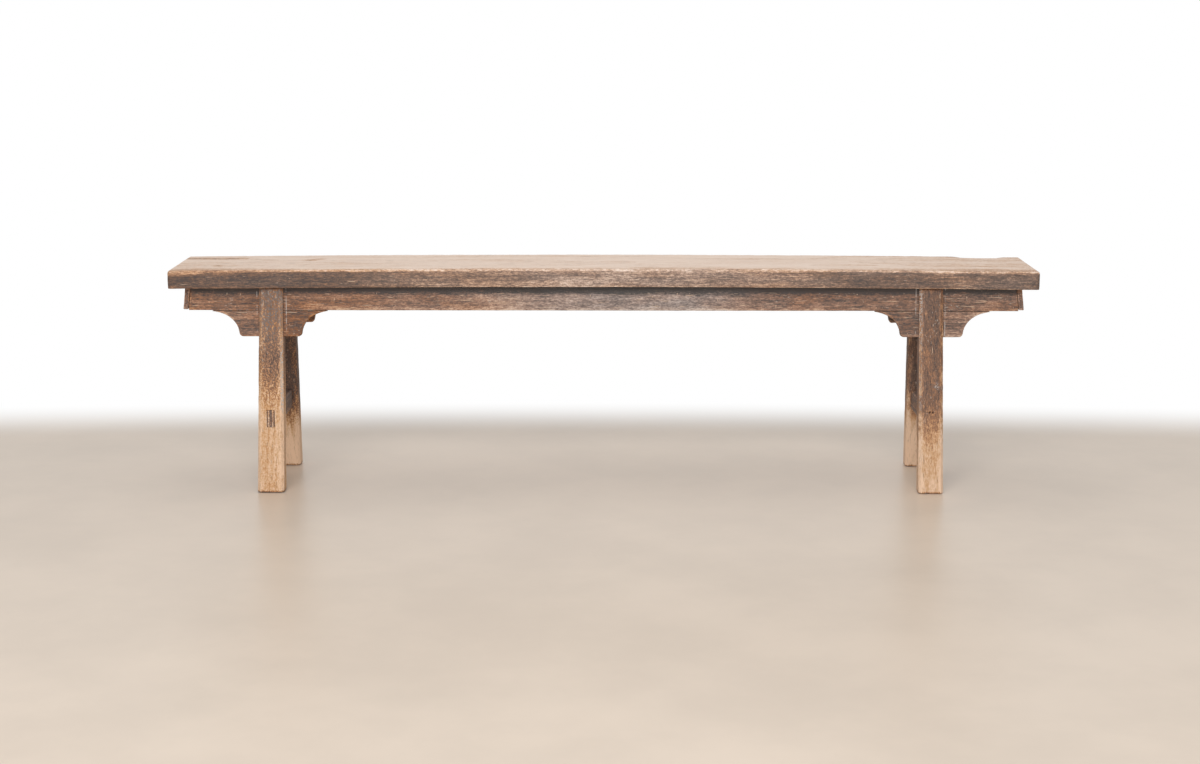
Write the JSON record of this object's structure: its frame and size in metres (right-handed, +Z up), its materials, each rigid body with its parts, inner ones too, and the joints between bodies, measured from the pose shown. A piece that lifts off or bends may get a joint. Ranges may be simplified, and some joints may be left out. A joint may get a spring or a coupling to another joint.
{
  "type": "backless bench",
  "caption": "Long backless plank bench with splayed slotted legs, aprons with coved spandrels, end boards and wedged cross stretchers, held by wooden joints.",
  "frame": {"origin": "on the floor, under the middle of the bench's bounding box", "axes": "+X along the seat to the right as seen from the front, +Y from front to back, +Z up"},
  "size_m": [1.93, 0.3, 0.504],
  "materials": {
    "seat_wood": "bare, scrubbed top with worn dark patina on its edges",
    "apron_wood": "dark red-brown patina, rubbed through on the edges",
    "leg_wood": "dark flaking patina above, bare honey-coloured wood towards the feet",
    "stretcher_wood": "dark dry patina",
    "wedge_wood": "bare end grain",
    "bamboo": "bare bamboo",
    "nail_iron": "rusted"
  },
  "bodies": {
    "root": {"apron_back": "apron_wood", "apron_front": "apron_wood", "dowel_back_left_inner": "bamboo", "dowel_back_left_outer": "bamboo", "dowel_back_right_inner": "bamboo", "dowel_back_right_outer": "bamboo", "dowel_front_left_inner": "bamboo", "dowel_front_left_outer": "bamboo", "dowel_front_right_inner": "bamboo", "dowel_front_right_outer": "bamboo", "end_board_left": "apron_wood", "end_board_right": "apron_wood", "leg_back_left": "leg_wood", "leg_back_right": "leg_wood", "leg_front_left": "leg_wood", "leg_front_right": "leg_wood", "nail_front_right_left": "nail_iron", "nail_front_right_right": "nail_iron", "pin_back_left_lower": "bamboo", "pin_back_left_upper": "bamboo", "pin_back_right_lower": "bamboo", "pin_back_right_upper": "bamboo", "pin_front_left_lower": "bamboo", "pin_front_left_upper": "bamboo", "pin_front_right_lower": "bamboo", "pin_front_right_upper": "bamboo", "seat_plank": "seat_wood", "spandrel_back_left": "apron_wood", "spandrel_back_right": "apron_wood", "spandrel_front_left": "apron_wood", "spandrel_front_right": "apron_wood", "stretcher_left": "stretcher_wood", "stretcher_right": "stretcher_wood", "wedge_back_left": "wedge_wood", "wedge_back_right": "wedge_wood", "wedge_front_left": "wedge_wood"}
  },
  "joints": []
}
